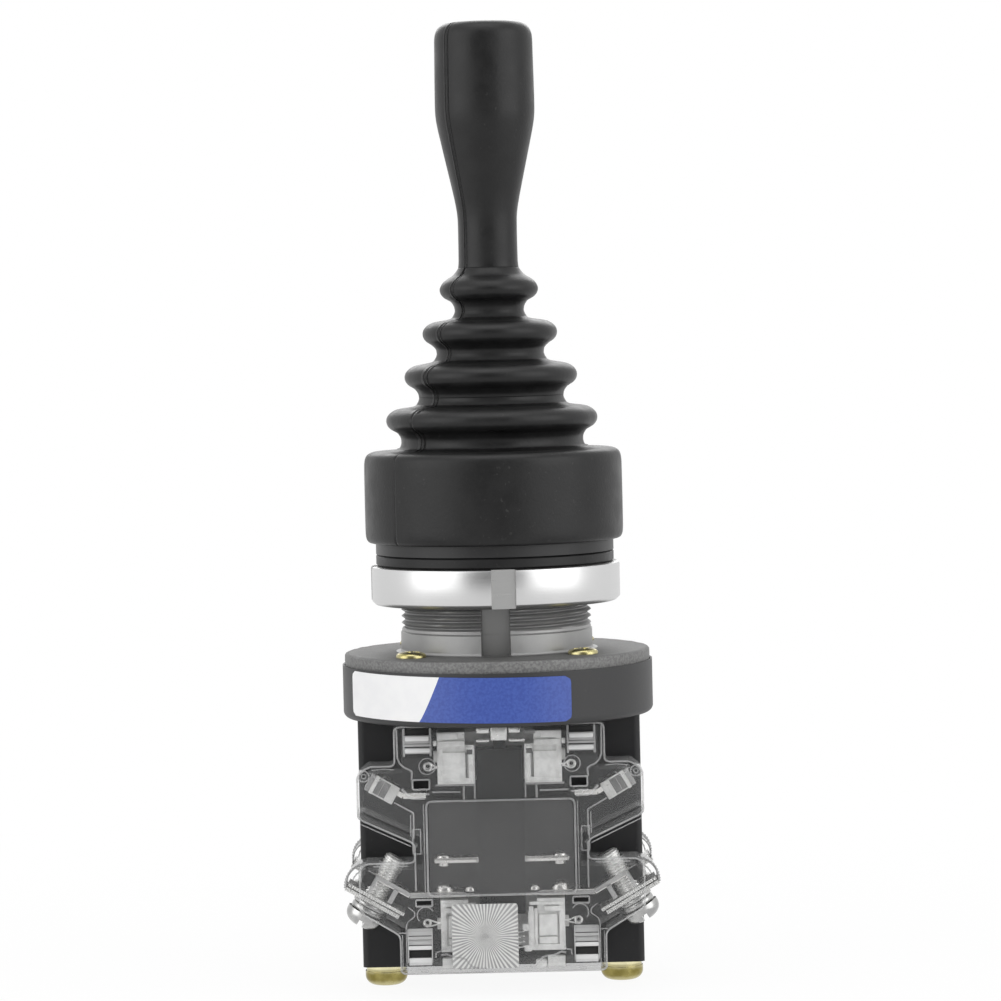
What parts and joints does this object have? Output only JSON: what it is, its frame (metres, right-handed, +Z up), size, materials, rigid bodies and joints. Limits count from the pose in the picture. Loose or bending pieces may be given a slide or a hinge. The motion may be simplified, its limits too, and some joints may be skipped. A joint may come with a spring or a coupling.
{
  "type": "industrial joystick switch",
  "caption": "Panel-mount joystick switch: rubber-booted lever on a gimbal, threaded bushing with ring nut, and a contact frame with clear covers and screw terminals.",
  "frame": {"origin": "on the centre line of the bushing and lever, level with the lower faces of the frame screws' heads", "axes": "+Z up along the lever, +X to the right seen from the front clear cover, -Y towards that cover"},
  "size_m": [0.049, 0.049, 0.1505],
  "materials": {
    "boot_rubber": "satin moulded rubber",
    "black_moulding": "fine grained black moulding",
    "dark_moulding": "dark grey moulding",
    "white_moulding": "white moulding",
    "clear_plastic": "clear moulded plastic",
    "smoked_plastic": "smoked clear plastic",
    "cast_metal": "rough grey die casting",
    "turned_aluminium": "bright turned aluminium",
    "machined_steel": "machined steel",
    "spring_steel": "drawn wire",
    "bright_steel": "nickelled steel",
    "silver_contact": "silver plated contact strip",
    "yellow_zinc": "yellow zinc plated steel"
  },
  "bodies": {
    "base": {"base_ring": "black_moulding", "bezel_ring": "black_moulding", "boot_bellows_lower": "boot_rubber", "boot_skirt": "boot_rubber", "bushing_flange": "cast_metal", "centre_panel_front": "smoked_plastic", "centre_panel_rear": "smoked_plastic", "centring_spring": "spring_steel", "contact_holders_front": "white_moulding", "contact_holders_rear": "white_moulding", "cover_front": "clear_plastic", "cover_rear": "clear_plastic", "flange_screw_1": "yellow_zinc", "flange_screw_2": "yellow_zinc", "flange_screw_3": "yellow_zinc", "flange_screw_4": "yellow_zinc", "frame_front_half": "black_moulding", "frame_rear_half": "black_moulding", "frame_screw_1": "yellow_zinc", "frame_screw_2": "yellow_zinc", "frame_screw_3": "yellow_zinc", "frame_screw_4": "yellow_zinc", "gate_plate": "machined_steel", "lower_terminal_front_left": "silver_contact", "lower_terminal_front_right": "silver_contact", "lower_terminal_rear_left": "silver_contact", "lower_terminal_rear_right": "silver_contact", "panel_gasket": "boot_rubber", "pivot_cradle": "machined_steel", "retaining_ring": "spring_steel", "return_spring_front": "spring_steel", "return_spring_left": "spring_steel", "return_spring_rear": "spring_steel", "return_spring_right": "spring_steel", "terminal_screw_front_left": "bright_steel", "terminal_screw_front_right": "bright_steel", "terminal_screw_rear_left": "bright_steel", "terminal_screw_rear_right": "bright_steel", "upper_terminal_front_left": "silver_contact", "upper_terminal_front_right": "silver_contact", "upper_terminal_rear_left": "silver_contact", "upper_terminal_rear_right": "silver_contact"},
    "gimbal": {"gimbal_ring": "machined_steel", "gimbal_pins": "machined_steel", "boot_bellows_upper": "boot_rubber"},
    "lever": {"lever_rod": "machined_steel", "pivot_hub": "machined_steel", "hub_pins": "machined_steel", "rocker_cross": "machined_steel", "rocker_nut": "machined_steel", "boot_grip": "boot_rubber"},
    "ring_nut": {"ring_nut": "turned_aluminium"},
    "plunger_front": {"slider_front": "dark_moulding", "bridge_front": "silver_contact"},
    "plunger_rear": {"slider_rear": "dark_moulding", "bridge_rear": "silver_contact"},
    "plunger_left": {"slider_left": "dark_moulding", "bridge_left": "silver_contact"},
    "plunger_right": {"slider_right": "dark_moulding", "bridge_right": "silver_contact"}
  },
  "joints": [
    {"name": "tilt_x", "type": "hinge", "parent": "base", "child": "gimbal", "pos_m": [0, 0, 0.0535], "axis": [1, 0, 0], "range_deg": [-12, 12], "stiffness_Nm_per_rad": 0.8, "deforming": ["boot_bellows_lower"]},
    {"name": "tilt_y", "type": "hinge", "parent": "gimbal", "child": "lever", "pos_m": [0, 0, 0.0535], "axis": [0, 1, 0], "range_deg": [-12, 12], "stiffness_Nm_per_rad": 0.8, "deforming": ["boot_bellows_upper", "centring_spring"]},
    {"name": "press_front", "type": "slide", "parent": "base", "child": "plunger_front", "axis": [0, 0, 1], "range_m": [-0.00255, 0.00255], "deforming": ["return_spring_front"]},
    {"name": "press_rear", "type": "slide", "parent": "base", "child": "plunger_rear", "axis": [0, 0, 1], "range_m": [-0.00255, 0.00255], "deforming": ["return_spring_rear"]},
    {"name": "press_left", "type": "slide", "parent": "base", "child": "plunger_left", "axis": [0, 0, 1], "range_m": [-0.00255, 0.00255], "deforming": ["return_spring_left"]},
    {"name": "press_right", "type": "slide", "parent": "base", "child": "plunger_right", "axis": [0, 0, 1], "range_m": [-0.00255, 0.00255], "deforming": ["return_spring_right"]},
    {"name": "nut_travel", "type": "slide", "parent": "base", "child": "ring_nut", "axis": [0, 0, 1], "range_m": [-0.004, 0]}
  ],
  "couplings": [
    {"joint": "press_front", "follows": "tilt_x", "m_per_rad": -0.01217},
    {"joint": "press_rear", "follows": "tilt_x", "m_per_rad": 0.01217},
    {"joint": "press_left", "follows": "tilt_y", "m_per_rad": 0.01217},
    {"joint": "press_right", "follows": "tilt_y", "m_per_rad": -0.01217}
  ]
}
